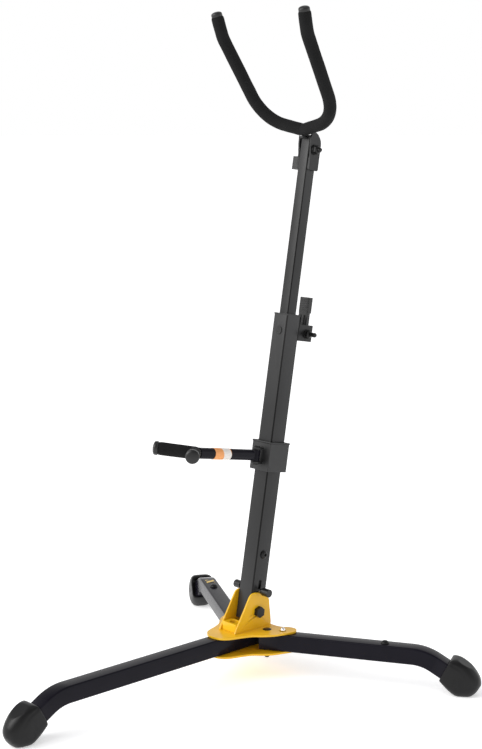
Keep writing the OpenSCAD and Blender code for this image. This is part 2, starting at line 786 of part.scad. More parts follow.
hub_top_plate();
hub_bottom_plate();
front_leg();
front_foot();
mast_bracket();
bracket_rivets();
fold_rest();
fold_rest_bolt();
mast_pivot_bolt();
mast_pivot_nut();
leg_pivot_bolt_right();
leg_pivot_bolt_left();
detent_ball_right();
detent_ball_left();
rear_leg_right();
rear_foot_right();
leg_bumper_right();
rear_leg_left();
rear_foot_left();
leg_bumper_left();
leg_badge();
lower_tube();
stop_screw();
lock_pin();
lock_pin_knobs();
tube_bush();
clamp_bracket();
clamp_bolt();
clamp_nut();
clamp_shoe();
clamp_lever();
collar();
arm_pivot_pin();
support_arm();
arm_band();
fork_rod();
fork_foam_right();
fork_foam_left();
fork_caps();
upper_tube();
upper_plug();
head_bolt();
head_nut();
head_bracket();
head_liner();
head_latch();
cradle_rod();
cradle_foam_right();
cradle_foam_left();
cradle_caps();
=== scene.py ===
"""Looks for the folding saxophone stand. Metres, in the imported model's frame."""
import math
import bpy
import bmesh
from mathutils import Matrix, Vector, noise


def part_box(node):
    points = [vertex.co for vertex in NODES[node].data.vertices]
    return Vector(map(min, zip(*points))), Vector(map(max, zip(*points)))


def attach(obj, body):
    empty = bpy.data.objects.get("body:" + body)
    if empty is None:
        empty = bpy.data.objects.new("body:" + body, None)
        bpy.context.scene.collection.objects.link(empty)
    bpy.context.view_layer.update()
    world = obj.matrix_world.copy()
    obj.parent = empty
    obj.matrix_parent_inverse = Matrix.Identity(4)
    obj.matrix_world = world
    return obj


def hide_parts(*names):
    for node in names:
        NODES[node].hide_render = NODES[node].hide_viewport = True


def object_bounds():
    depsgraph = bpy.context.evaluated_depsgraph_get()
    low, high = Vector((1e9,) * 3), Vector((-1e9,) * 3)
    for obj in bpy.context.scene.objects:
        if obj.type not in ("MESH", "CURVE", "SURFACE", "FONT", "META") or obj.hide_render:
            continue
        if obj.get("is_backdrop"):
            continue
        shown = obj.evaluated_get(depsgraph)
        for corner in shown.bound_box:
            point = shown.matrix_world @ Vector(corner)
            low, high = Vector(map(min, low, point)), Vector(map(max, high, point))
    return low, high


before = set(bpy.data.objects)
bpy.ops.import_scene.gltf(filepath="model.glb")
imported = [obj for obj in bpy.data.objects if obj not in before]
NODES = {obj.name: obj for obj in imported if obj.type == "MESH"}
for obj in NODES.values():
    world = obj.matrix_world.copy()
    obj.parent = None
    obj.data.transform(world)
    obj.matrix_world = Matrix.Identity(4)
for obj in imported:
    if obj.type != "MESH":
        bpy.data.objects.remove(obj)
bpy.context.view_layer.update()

MM = 0.001


# ---- places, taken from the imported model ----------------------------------

def middle(node):
    low, high = (Vector(p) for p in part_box(node))
    return (low + high) / 2


LEAN = math.radians(10)
PIVOT_BACK = 17 * MM  # the rear leg pivots, behind the hub centre
PIVOT = middle("mast_pivot_bolt")
PIVOT.x = 0
MAST = Matrix.Translation(PIVOT) @ Matrix.Rotation(-LEAN, 4, "X")
LEG_PIVOT = middle("leg_pivot_bolt_right")
HUB_Y = LEG_PIVOT.y - PIVOT_BACK
REAR_ANGLE = math.radians(60)
FRONT_LEG = Matrix.Translation((0, HUB_Y, 0)) @ Matrix.Rotation(-math.pi / 2, 4, "Z")


def rear_leg_frame(side):
    turn = math.pi / 2 - side * REAR_ANGLE
    return Matrix.Translation((side * LEG_PIVOT.x, LEG_PIVOT.y, 0)) @ Matrix.Rotation(turn, 4, "Z")


# ---- materials ------------------------------------------------------------

class Shader:
    """A material with a Principled shader and helpers for its node tree."""

    def __init__(self, name, rough, metal=0.0, coat=0.0):
        self.mat = bpy.data.materials.new(name)
        self.mat.use_nodes = True
        self.tree = self.mat.node_tree
        self.shader = self.tree.nodes["Principled BSDF"]
        self.set(self.shader, "Roughness", rough)
        self.set(self.shader, "Metallic", metal)
        self.set(self.shader, "Coat Weight", coat)
        self.coords = self.tree.nodes.new("ShaderNodeTexCoord").outputs["Object"]
        self.height = None

    @staticmethod
    def set(node, socket, value):
        node.inputs[socket].default_value = value

    def link(self, a, b):
        self.tree.links.new(a, b)

    def noise(self, scale, detail=3.0, stretch=None):
        source = self.coords
        if stretch:
            mapping = self.tree.nodes.new("ShaderNodeMapping")
            self.link(source, mapping.inputs["Vector"])
            mapping.inputs["Scale"].default_value = stretch
            source = mapping.outputs["Vector"]
        tex = self.tree.nodes.new("ShaderNodeTexNoise")
        self.set(tex, "Scale", scale)
        self.set(tex, "Detail", detail)
        self.link(source, tex.inputs["Vector"])
        return tex.outputs["Fac"]

    def cells(self, scale):
        tex = self.tree.nodes.new("ShaderNodeTexVoronoi")
        self.set(tex, "Scale", scale)
        self.link(self.coords, tex.inputs["Vector"])
        return tex.outputs["Distance"]

    def ramp(self, fac, low, high, start=0.3, end=0.7):
        node = self.tree.nodes.new("ShaderNodeValToRGB")
        node.color_ramp.elements[0].position = start
        node.color_ramp.elements[1].position = end
        node.color_ramp.elements[0].color = low
        node.color_ramp.elements[1].color = high
        self.link(fac, node.inputs["Fac"])
        return node.outputs["Color"]

    def mix(self, fac, a, b):
        node = self.tree.nodes.new("ShaderNodeMix")
        node.data_type = "RGBA"
        for value, index in ((fac, 0), (a, 6), (b, 7)):  # the factor and the two colours
            if hasattr(value, "links"):
                self.link(value, node.inputs[index])
            else:
                node.inputs[index].default_value = value
        return node.outputs[2]

    def color(self, socket):
        self.link(socket, self.shader.inputs["Base Color"])

    def rough(self, fac, low, high):
        node = self.tree.nodes.new("ShaderNodeMapRange")
        self.link(fac, node.inputs["Value"])
        self.set(node, "To Min", low)
        self.set(node, "To Max", high)
        self.link(node.outputs["Result"], self.shader.inputs["Roughness"])

    def bump(self, fac, strength, depth):
        node = self.tree.nodes.new("ShaderNodeBump")
        self.set(node, "Strength", strength)
        self.set(node, "Distance", depth)
        self.link(fac, node.inputs["Height"])
        if self.height is not None:
            self.link(self.height, node.inputs["Normal"])
        self.height = node.outputs["Normal"]
        self.link(self.height, self.shader.inputs["Normal"])

    def edges(self, base, bright, start=0.53, end=0.60):
        """Mixes in a lighter tone along sharp outer edges, found from the surface's pointiness."""
        geo = self.tree.nodes.new("ShaderNodeNewGeometry")
        outer_edge_mask = self.ramp(geo.outputs["Pointiness"], (0, 0, 0, 1), (1, 1, 1, 1), start, end)
        return self.mix(outer_edge_mask, base, bright)


def grey(v, tint=0.0):
    return (v, v, v * (1 + tint), 1)


def powder(name, low, high, rough, coat=0.0, shine=0.3, peel=0.04):
    """Powder-coated steel: orange-peel bump, cloudy sheen, lighter edges."""
    s = Shader(name, rough, 0.0, coat)
    s.set(s.shader, "Specular IOR Level", shine)
    cloud = s.noise(22.0, 4.0)
    base = s.ramp(cloud, low, high)
    lift = tuple(min(1.0, c * 1.35 + 0.01) for c in high[:3]) + (1,)
    s.color(s.edges(base, lift))
    s.rough(s.noise(60.0), rough - 0.05, rough + 0.07)
    s.bump(s.noise(1400.0, 2.0), peel, 0.0002)
    return s.mat


def plastic(name, low, high, rough, grain=2600.0):
    s = Shader(name, rough)
    s.color(s.ramp(s.noise(35.0), low, high))
    s.rough(s.noise(180.0), rough - 0.05, rough + 0.08)
    s.bump(s.noise(grain, 3.0), 0.16, 0.0002)
    return s.mat


def metal(name, tone, rough, scratches=900.0):
    s = Shader(name, rough, 1.0)
    s.color(s.ramp(s.noise(120.0), grey(tone * 0.88), grey(tone, 0.02)))
    s.rough(s.noise(scratches, 4.0, (1, 1, 6)), rough - 0.05, rough + 0.14)
    s.bump(s.noise(scratches, 2.0), 0.06, 0.0001)
    return s.mat


def foam_stuff(name):
    """Closed-cell foam sleeve: matt skin with fine pores and soft dents."""
    s = Shader(name, 0.9)
    pores = s.cells(1500.0)
    base = s.ramp(pores, grey(0.003), grey(0.010, 0.02), 0.1, 0.6)
    s.color(s.mix(s.ramp(s.noise(45.0), grey(0.0), grey(1.0), 0.45, 0.75), base, grey(0.013, 0.03)))
    s.set(s.shader, "Specular IOR Level", 0.15)
    s.bump(pores, 0.35, 0.00025)
    s.bump(s.noise(160.0, 4.0), 0.25, 0.0006)
    s.rough(s.noise(90.0), 0.75, 0.95)
    return s.mat


def rubber_stuff(name):
    s = Shader(name, 0.5)
    base = s.ramp(s.noise(55.0, 5.0), grey(0.004, 0.05), grey(0.007, 0.05))
    s.color(s.edges(base, grey(0.012, 0.04)))
    s.set(s.shader, "Specular IOR Level", 0.25)
    s.rough(s.noise(70.0), 0.28, 0.40)
    s.bump(s.noise(2200.0, 2.0), 0.20, 0.0002)
    return s.mat


def print_film(name, ground, ink, axis, scale):
    """A generic printed label: bands of ink along one axis, no lettering."""
    s = Shader(name, 0.35)
    wave = s.tree.nodes.new("ShaderNodeTexWave")
    wave.wave_type = "BANDS"
    wave.bands_direction = axis
    s.set(wave, "Scale", scale)
    s.set(wave, "Distortion", 0.0)
    s.link(s.coords, wave.inputs["Vector"])
    s.color(s.ramp(wave.outputs["Fac"], ground, ink, 0.55, 0.60))
    s.rough(s.noise(300.0), 0.25, 0.45)
    s.bump(s.noise(800.0), 0.05, 0.0001)
    return s.mat


BLACK = powder("black_coat", (0.0040, 0.0036, 0.0070, 1), (0.0062, 0.0054, 0.0100, 1), 0.18,
               shine=0.12)
MAST_BLACK = powder("mast_coat", grey(0.008, 0.03), grey(0.013, 0.03), 0.32, shine=0.36)
# a darker coat for the mast tubes' rounded corners: it paints the dark reflection line along their
# edges
CORNER_PAINTED_REFLECTION = powder("painted_dark_corner_reflection", grey(0.003), grey(0.005), 0.45, shine=0.15)
YELLOW = powder("yellow_coat", (0.74, 0.41, 0.004, 1), (0.82, 0.465, 0.008, 1), 0.36, 0.3)
BOLT = powder("bolt_black", grey(0.004), grey(0.008), 0.32)
STEEL = metal("bright_steel", 0.78, 0.20)
CHROME = metal("ball_chrome", 0.90, 0.08)
PLASTIC = plastic("moulded_black", grey(0.003), grey(0.006), 0.28)
COLLAR = plastic("moulded_collar", grey(0.008, 0.03), grey(0.013, 0.03), 0.42)
RUBBER = rubber_stuff("foot_rubber")
FOAM = foam_stuff("foam_skin")
LABEL = print_film("arm_label", (0.80, 0.33, 0.10, 1), (0.75, 0.72, 0.68, 1), "Y", 11.0)
BADGE = print_film("leg_badge_print", (0.70, 0.48, 0.10, 1), (0.03, 0.025, 0.02, 1), "X", 32.0)


# ---- mesh helpers ---------------------------------------------------------

CORNER_STEPS = 5

def new_object(name, bm, mat, smooth_angle=35):
    bmesh.ops.recalc_face_normals(bm, faces=bm.faces[:])
    me = bpy.data.meshes.new(name)
    bm.to_mesh(me)
    bm.free()
    me.materials.append(mat)
    me.shade_smooth()
    me.set_sharp_from_angle(angle=math.radians(smooth_angle))
    obj = bpy.data.objects.new(name, me)
    bpy.context.scene.collection.objects.link(obj)
    return obj


def rounded_square(width, radius, steps=CORNER_STEPS):
    """Loop of a square with rounded corners, as (u, v) pairs."""
    inner = width / 2 - radius
    loop = []
    for k, (sx, sy) in enumerate(((1, 1), (-1, 1), (-1, -1), (1, -1))):
        for i in range(steps + 1):
            a = math.pi / 2 * (k + i / steps)
            loop.append((sx * inner + radius * math.cos(a), sy * inner + radius * math.sin(a)))
    return loop


def ring(bm, station, loop):
    origin, u, v = station
    return [bm.verts.new(origin + u * a + v * b) for a, b in loop]


def bridge(bm, a, b):
    n = len(a)
    for i in range(n):
        bm.faces.new((a[i], a[(i + 1) % n], b[(i + 1) % n], b[i]))


def paint_corner_reflections(obj, mat):
    """Gives the rounded corners of a swept square a darker coat: a painted dark reflection line
    along the tube's edges.
    """
    obj.data.materials.append(mat)
    for face in obj.data.polygons:
        if face.index % (CORNER_STEPS + 1) < CORNER_STEPS:
            face.material_index = 1


def sweep(name, stations, loop, mat, inner=None, smooth_angle=35):
    """Sweeps a closed loop along stations (origin, u, v); inner makes it a tube."""
    bm = bmesh.new()
    rings = [ring(bm, s, loop) for s in stations]
    for a, b in zip(rings, rings[1:]):
        bridge(bm, a, b)
    if inner:
        holes = [ring(bm, s, inner) for s in stations]
        for a, b in zip(holes, holes[1:]):
            bridge(bm, b, a)
        bridge(bm, holes[0], rings[0])
        bridge(bm, rings[-1], holes[-1])
    else:
        bm.faces.new(rings[0][::-1])
        bm.faces.new(rings[-1])
    return new_object(name, bm, mat, smooth_angle)


def place(stations, matrix):
    turn = matrix.to_3x3()
    return [(matrix @ o, turn @ u, turn @ v) for o, u, v in stations]


def lathe(name, profile, matrix, mat, steps=48):
    """Turns (radius, height) pairs about the local Z axis."""
    bm = bmesh.new()
    rings = []
    for r, z in profile:
        if r < 1e-6:
            rings.append([bm.verts.new(matrix @ Vector((0, 0, z)))])
            continue
        rings.append([bm.verts.new(matrix @ Vector((r * math.cos(t), r * math.sin(t), z)))
                      for t in (2 * math.pi * i / steps for i in range(steps))])
    for a, b in zip(rings, rings[1:]):
        if len(a) == 1 or len(b) == 1:
            tip, rim = (a[0], b) if len(a) == 1 else (b[0], a)
            for i in range(steps):
                bm.faces.new((tip, rim[i], rim[(i + 1) % steps]))
        else:
            bridge(bm, a, b)
    return new_object(name, bm, mat, 30)


def cut(obj, cutter_bm):
    """Subtracts a scratch mesh from obj and leaves plain geometry."""
    me = bpy.data.meshes.new("cutter")
    cutter_bm.to_mesh(me)
    cutter_bm.free()
    tool = bpy.data.objects.new("cutter", me)
    bpy.context.scene.collection.objects.link(tool)
    mod = obj.modifiers.new("cut", "BOOLEAN")
    mod.object = tool
    mod.operation = "DIFFERENCE"
    mod.solver = "EXACT"
    depsgraph = bpy.context.evaluated_depsgraph_get()
    fresh = bpy.data.meshes.new_from_object(obj.evaluated_get(depsgraph))
    obj.modifiers.clear()
    obj.data = fresh
    fresh.shade_smooth()
    fresh.set_sharp_from_angle(angle=math.radians(35))
    bpy.data.objects.remove(tool)


def stand_for(obj, body, slot, *nodes):
    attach(obj, body)
    if nodes:
        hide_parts(*nodes)


# ---- legs -----------------------------------------------------------------

LEG_W = 22 * MM
LEG_MID = 46 * MM
BEND = 60 * MM
DROP = math.radians(30)
FRONT_REACH = 357 * MM
REAR_REACH = 294 * MM
FOOT_BACK = 67 * MM  # from the foot pad back to where the leg starts to bend


def leg_stations(start, run, end=36 * MM):
    """Straight, bend down, straight: the leg's centre line in its own frame."""
    side = Vector((0, 1, 0))
    out = []
    for i in range(9):
        x = start + (run - start) * i / 8
        out.append((Vector((x, 0, LEG_MID)), side, Vector((0, 0, 1))))
    for i in range(1, 21):
        a = DROP * i / 20
        at = Vector((run + BEND * math.sin(a), 0, LEG_MID - BEND * (1 - math.cos(a))))
        out.append((at, side, Vector((math.sin(a), 0, math.cos(a)))))
    last = out[-1][0] + Vector((math.cos(DROP), 0, -math.sin(DROP))) * end
    out.append((last, side, out[-1][2]))
    return out


def make_leg(name, matrix, start, run, body):
    loop = rounded_square(LEG_W, 2.4 * MM)
    hole = rounded_square(LEG_W - 3 * MM, 1.2 * MM)
    leg = sweep(name, place(leg_stations(start, run), matrix), loop, BLACK, hole)
    stand_for(leg, body, "black_steel", name)
    return leg


PIVOT_OUT = LEG_PIVOT.x * math.sin(REAR_ANGLE) + PIVOT_BACK * math.cos(REAR_ANGLE)
FRONT_RUN = FRONT_REACH - FOOT_BACK
REAR_RUN = REAR_REACH - FOOT_BACK - PIVOT_OUT
FRONT_START = HUB_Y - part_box("front_leg")[1][1]
LEG_TURN = math.pi / 2 - REAR_ANGLE
REAR_START = ((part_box("rear_leg_right")[0][0] - LEG_PIVOT.x + LEG_W / 2 * math.sin(LEG_TURN))
              / math.cos(LEG_TURN))
make_leg("front_leg", FRONT_LEG, FRONT_START, FRONT_RUN, "hub")
make_leg("rear_leg_right", rear_leg_frame(1), REAR_START, REAR_RUN, "right_leg")
make_leg("rear_leg_left", rear_leg_frame(-1), REAR_START, REAR_RUN, "left_leg")


# ---- rubber feet ----------------------------------------------------------

# top x, z, bottom x, z past the start of the leg's bend, half width, squareness
FOOT = ((50.6, 42.0, 42.0, 24.0, 11.4, 7.0), (50.2, 45.0, 37.5, 20.0, 15.0, 6.0),
        (51.6, 46.6, 36.9, 18.2, 16.4, 5.5), (55.5, 47.4, 40.5, 13.6, 16.9, 4.6),
        (62.0, 46.6, 47.5, 6.2, 17.0, 3.8), (69.0, 43.8, 56.5, -0.6, 16.8, 3.2),
        (76.0, 38.8, 66.0, -1.6, 16.0, 2.8), (82.2, 32.2, 75.0, -0.8, 13.8, 2.5),
        (86.6, 25.4, 82.0, 4.2, 10.2, 2.3), (88.4, 20.0, 86.4, 10.4, 5.4, 2.1),
        (88.7, 16.6, 88.3, 13.8, 1.6, 2.0))


def spline(keys, t):
    """Catmull-Rom through a list of tuples, t from 0 to 1."""
    span = t * (len(keys) - 1)
    i = min(int(span), len(keys) - 2)
    f = span - i
    p = [keys[max(0, min(len(keys) - 1, i + k))] for k in (-1, 0, 1, 2)]
    w = (-0.5 * f + f * f - 0.5 * f ** 3, 1 - 2.5 * f * f + 1.5 * f ** 3,
         0.5 * f + 2 * f * f - 1.5 * f ** 3, -0.5 * f * f + 0.5 * f ** 3)
    return [sum(a * b[k] for a, b in zip(w, p)) for k in range(len(keys[0]))]


def near_line(x, z, points, width):
    """1 on a polyline in the side view, falling to 0 at width."""
    best = 1e9
    for (ax, az), (bx, bz) in zip(points, points[1:]):
        dx, dz = bx - ax, bz - az
        t = max(0, min(1, ((x - ax) * dx + (z - az) * dz) / (dx * dx + dz * dz)))
        best = min(best, math.hypot(x - ax - t * dx, z - az - t * dz))
    return max(0.0, 1 - best / width)


CHEVRON = ((46, 33), (57, 27), (60, 20), (58, 11))
CROWN = ((52, 43), (64, 37), (72, 28), (76, 17))


# the flat oval on the foot's upper front: its normal, and how far out it lies in mm
FACET_WAY = Vector((0.5, 0, 0.866))
FACET_AT = 70.6


def make_foot(name, matrix, run, body):
    rings, around = 46, 72
    bm = bmesh.new()
    grid = []
    for i in range(rings):
        xt, zt, xb, zb, hw, n = spline(FOOT, i / (rings - 1))
        mid = Vector(((xt + xb) / 2, 0, (zt + zb) / 2))
        up = Vector(((xt - xb) / 2, 0, (zt - zb) / 2))
        row = []
        for k in range(around):
            a = 2 * math.pi * k / around
            c, s = math.cos(a), math.sin(a)
            p = mid + up * (math.copysign(abs(s) ** (2 / n), s))
            p -= FACET_WAY * max(0.0, p.dot(FACET_WAY) - FACET_AT)
            y = hw * math.copysign(abs(c) ** (2 / n), c)
            groove = (near_line(p.x, p.z, CHEVRON, 1.4) * 0.9
                      + near_line(p.x, p.z, CROWN, 1.6) * 0.6)
            if abs(y) > 0.6 * hw:
                y -= math.copysign(groove, y)
            spot = Vector((p.x, y, max(0.0, p.z))) * MM + Vector((run, 0, 0))
            row.append(bm.verts.new(matrix @ spot))
        grid.append(row)
    for a, b in zip(grid, grid[1:]):
        bridge(bm, a, b)
    bm.faces.new(grid[-1])
    bm.faces.new(grid[0][::-1])
    foot = new_object(name, bm, RUBBER, 50)
    stand_for(foot, body, "rubber", name)


make_foot("front_foot", FRONT_LEG, FRONT_RUN, "hub")
make_foot("rear_foot_right", rear_leg_frame(1), REAR_RUN, "right_leg")
make_foot("rear_foot_left", rear_leg_frame(-1), REAR_RUN, "left_leg")

# a round button on a short stud: radius and height over the leg
BUMPER = [(r * MM, z * MM) for r, z in (
    (0.0, 3.9), (1.6, 3.75), (3.0, 3.3), (4.3, 2.5), (5.1, 1.5), (5.4, 0.5), (5.4, 0.0),
    (2.4, 0.0), (2.4, -3.0), (0.0, -3.0))]

for word in ("right", "left"):
    body = word + "_leg"
    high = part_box("leg_bumper_" + word)[1]
    at = middle("leg_bumper_" + word)
    at.z = high[2] - 4 * MM
    bump = lathe("leg_bumper_" + word, BUMPER, Matrix.Translation(at), RUBBER)
    stand_for(bump, body, "rubber", "leg_bumper_" + word)


# ---- mast tubes -----------------------------------------------------------

def tube_stations(low, high, steps=4):
    return [(Vector((0, 0, low + (high - low) * i / steps)), Vector((1, 0, 0)), Vector((0, 1, 0)))
            for i in range(steps + 1)]


def slot_cutter(matrix, low, high, width, length):
    """A round-ended bar across X, for the lock pin's slot."""
    bm = bmesh.new()
    loop = []
    for k in range(24):
        a = 2 * math.pi * k / 24
        z = (high if math.sin(a) >= 0 else low) + width / 2 * math.sin(a)
        loop.append((width / 2 * math.cos(a), z))
    rings = []
    for x in (-length / 2, length / 2):
        rings.append([bm.verts.new(matrix @ Vector((x, y, z))) for y, z in loop])
    bridge(bm, rings[0], rings[1])
    bm.faces.new(rings[0][::-1])
    bm.faces.new(rings[1])
    bmesh.ops.recalc_face_normals(bm, faces=bm.faces[:])
    return bm


def round_cutter(matrix, at, radius, depth):
    """A round bar from the mast's middle out through its front face."""
    bm = bmesh.new()
    turn = matrix @ Matrix.Translation((0, -depth / 2, at)) @ Matrix.Rotation(math.pi / 2, 4, "X")
    bmesh.ops.create_cone(bm, cap_ends=True, segments=48, radius1=radius, radius2=radius,
                          depth=depth, matrix=turn)
    return bm


def reach(node, width, top):
    """How far along the mast a tube of this width goes, up or down."""
    across = width / 2 * math.sin(LEAN)
    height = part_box(node)[1 if top else 0][2] - PIVOT.z
    return (height - across if top else height + across) / math.cos(LEAN)


MAST_W, UPPER_W = 25 * MM, 16 * MM
MAST_LEN = 393 * MM
SLOT_LOW, SLOT_HIGH = 27.5 * MM, 39 * MM
BUTTON_AT = MAST_LEN - 21 * MM
lower = sweep("lower_tube", place(tube_stations(-12 * MM, MAST_LEN), MAST),
              rounded_square(MAST_W, 1.5 * MM), MAST_BLACK, rounded_square(22 * MM, 0.8 * MM))
# the rounded corners of both mast tubes get the darker coat, a painted dark reflection line
paint_corner_reflections(lower, CORNER_PAINTED_REFLECTION)
cut(lower, slot_cutter(MAST, SLOT_LOW, SLOT_HIGH, 5.2 * MM, 60 * MM))
cut(lower, round_cutter(MAST, BUTTON_AT, 5.6 * MM, 20 * MM))
stand_for(lower, "mast", "black_steel", "lower_tube")

UPPER_LOW, UPPER_TOP = (reach("upper_tube", UPPER_W, top) for top in (False, True))
upper = sweep("upper_tube", place(tube_stations(UPPER_LOW, UPPER_TOP), MAST),
              rounded_square(UPPER_W, 1.2 * MM), MAST_BLACK, rounded_square(13 * MM, 0.8 * MM))
paint_corner_reflections(upper, CORNER_PAINTED_REFLECTION)
stand_for(upper, "upper", "black_steel", "upper_tube")


# ---- foam sleeves and their rods ------------------------------------------

V_TILT, U_OPEN, TIP = (math.radians(a) for a in (14, 85, 15))
RUN, CORNER, ARM, TIP_R, TIP_LEN = (a * MM for a in (34, 50, 84, 40, 36))
CRADLE_TURN = math.radians(41)
CRADLE = (MAST @ Matrix.Translation((0, -14.4 * MM, 639.1 * MM))
          @ Matrix.Rotation(CRADLE_TURN, 4, "X"))
FOAM_R = 8.5 * MM
CRADLE_CAP_R, FORK_CAP_R = 7.4 * MM, 9.0 * MM


def cradle_line(side, step=2.2 * MM):
    """Points and directions along half of the cradle, mirrored for side -1."""
    out = []
    across = Vector((0, 1, 0))

    def add(p, t, n):
        out.append((Vector((side * p.x, p.y, p.z)), Vector((side * t.x, t.y, t.z)), n))

    def straight(p, t, n, length):
        count = max(2, int(length / step))
        for i in range(1, count + 1):
            add(p + t * (length * i / count), t, n)
        return p + t * length

    def heading(a):
        return Vector((math.cos(a), 0, math.sin(a)))

    add(Vector(), heading(V_TILT), across)
    p = straight(Vector(), heading(V_TILT), across, RUN)
    centre = p + Vector((-math.sin(V_TILT), 0, math.cos(V_TILT))) * CORNER
    count = int(CORNER * (U_OPEN - V_TILT) / step)
    for i in range(1, count + 1):
        a = V_TILT + (U_OPEN - V_TILT) * i / count
        p = centre + Vector((math.sin(a), 0, -math.cos(a))) * CORNER
        add(p, heading(a), across)
    p = straight(p, heading(U_OPEN), across, ARM)
    t = heading(U_OPEN)
    for i in range(1, 7):
        a = TIP * i / 6
        q = p + t * (TIP_R * math.sin(a)) + across * (TIP_R * (1 - math.cos(a)))
        add(q, t * math.cos(a) + across * math.sin(a), across * math.cos(a) - t * math.sin(a))
    last, way, n = out[-1]
    plain = Vector((side * last.x, last.y, last.z))
    straight(plain, Vector((side * way.x, way.y, way.z)), n, TIP_LEN - TIP_R * math.sin(TIP))
    return out


def round_stations(line, matrix):
    out = []
    for p, t, n in line:
        v = t.cross(n).normalized()
        out.append((p, n.normalized(), v))
    return place(out, matrix)


def foam_sleeve(name, line, matrix, radius, body, seed, flat_start=None):
    """A foam tube: soft ends, slight dents and a wavy skin."""
    stations = round_stations(line, matrix)
    around, count = 48, len(stations)
    length = 0.0
    lengths = [0.0]
    for a, b in zip(stations, stations[1:]):
        length += (b[0] - a[0]).length
        lengths.append(length)
    bm = bmesh.new()
    rows = []
    shift = Vector((seed * 7.3, seed * 3.1, 0))
    for (o, u, v), s in zip(stations, lengths):
        edge = min(s, length - s)
        soft = 1.0 if edge > 3 * MM else 1 - 0.10 * (1 - edge / (3 * MM)) ** 2
        row = []
        for k in range(around):
            a = 2 * math.pi * k / around
            way = u * math.cos(a) + v * math.sin(a)
            p = o + way * radius
            dent = (noise.noise(p * 60 + shift) * 0.22 * MM
                    + noise.noise(p * 220 + shift) * 0.08 * MM)
            row.append(bm.verts.new(o + way * (radius * soft + dent - 0.1 * MM)))
        rows.append(row)
    for a, b in zip(rows, rows[1:]):
        bridge(bm, a, b)
    for row, (o, u, v), flip in ((rows[0], stations[0], True), (rows[-1], stations[-1], False)):
        lip = [bm.verts.new(o + (x.co - o) * 0.5) for x in row]
        bridge(bm, lip, row) if flip else bridge(bm, row, lip)
        bm.faces.new(lip[::-1] if flip else lip)
    if flat_start is not None:
        point, way = flat_start
        bmesh.ops.bisect_plane(bm, geom=bm.verts[:] + bm.edges[:] + bm.faces[:], plane_co=point,
                               plane_no=way, clear_inner=True)
        holes = [e for e in bm.edges if e.is_boundary]
        bmesh.ops.holes_fill(bm, edges=holes, sides=0)
    obj = new_object(name, bm, FOAM, 40)
    stand_for(obj, body, "foam", name)
    return obj


def extend_back(line, by):
    p, t, n = line[0]
    return [(p - t * by, t, n)] + line


def trim_end(line, by):
    """Drops the last stretch of a line, measured along it."""
    left = by
    out = list(line)
    while len(out) > 2:
        gap = (out[-1][0] - out[-2][0]).length
        if gap > left:
            p, t, n = out[-1]
            out[-1] = (p - t * left, t, n)
            break
        left -= gap
        out.pop()
    return out


def dome(radius):
    """A rubber end cap's outline, from its crown to the inside of its skirt."""
    crown = [(radius * math.sin(a), 4 * MM * math.cos(a) ** 0.8)
             for a in (math.pi / 2 * i / 12 for i in range(12))]
    skirt = [(radius, 0.0), (radius, -2.6 * MM), (radius - 0.4 * MM, -3.0 * MM),
             (4.1 * MM, -3.0 * MM)]
    return crown + skirt


def end_dome(name, line, matrix, radius):
    p, t, n = line[-1]
    up = t.normalized()
    side = n.normalized()
    turn = Matrix((side, up.cross(side), up)).transposed().to_4x4()
    return lathe(name, dome(radius), matrix @ Matrix.Translation(p) @ turn, PLASTIC)


def join(name, parts):
    """One object from several plain meshes."""
    bm = bmesh.new()
    for o in parts:
        bm.from_mesh(o.data)
    mat = parts[0].data.materials[0]
    for o in parts:
        bpy.data.objects.remove(o)
    return new_object(name, bm, mat, 30)


centre = CRADLE @ Vector()
sideways = Vector((1, 0, 0))
caps = []
for side, word in ((1, "right"), (-1, "left")):
    line = cradle_line(side)
    sleeve = trim_end(extend_back(line, 6 * MM), 3.0 * MM)
    foam_sleeve("cradle_foam_" + word, sleeve, CRADLE, FOAM_R, "cradle", 3 + side,
                (centre + sideways * side * 0.15 * MM, sideways * side))
    caps.append(end_dome("cap_" + word, line, CRADLE, CRADLE_CAP_R))
stand_for(join("cradle_caps", caps), "cradle", "black_plastic", "cradle_caps")

COLLAR_AT, ARM_REACH, PRONG = (a * MM for a in (205, 134, 50))
PRONG_ANGLE = math.radians(45)
ARM_FRAME = (MAST @ Matrix.Translation((0, 0, COLLAR_AT))
             @ Matrix.Rotation(-math.pi / 2, 4, "Z"))
FORK = ARM_FRAME @ Matrix.Translation((ARM_REACH, 0, 0))
fork_at = FORK @ Vector()
caps = []
for side, word in ((1, "right"), (-1, "left")):
    a = side * PRONG_ANGLE
    t = Vector((math.cos(a), math.sin(a), 0))
    line = [(t * (PRONG * i / 24), t, Vector((0, 0, 1))) for i in range(25)]
    sleeve = trim_end(extend_back(line, 14 * MM), 3.0 * MM)
    foam_sleeve("fork_foam_" + word, sleeve, FORK, FOAM_R, "arm", 8 + side,
                (fork_at + sideways * side * 0.15 * MM, sideways * side))
    caps.append(end_dome("fork_cap_" + word, line, FORK, FORK_CAP_R))
stand_for(join("fork_caps", caps), "arm", "black_plastic", "fork_caps")


# ---- carried-over metal and plastic pieces --------------------------------

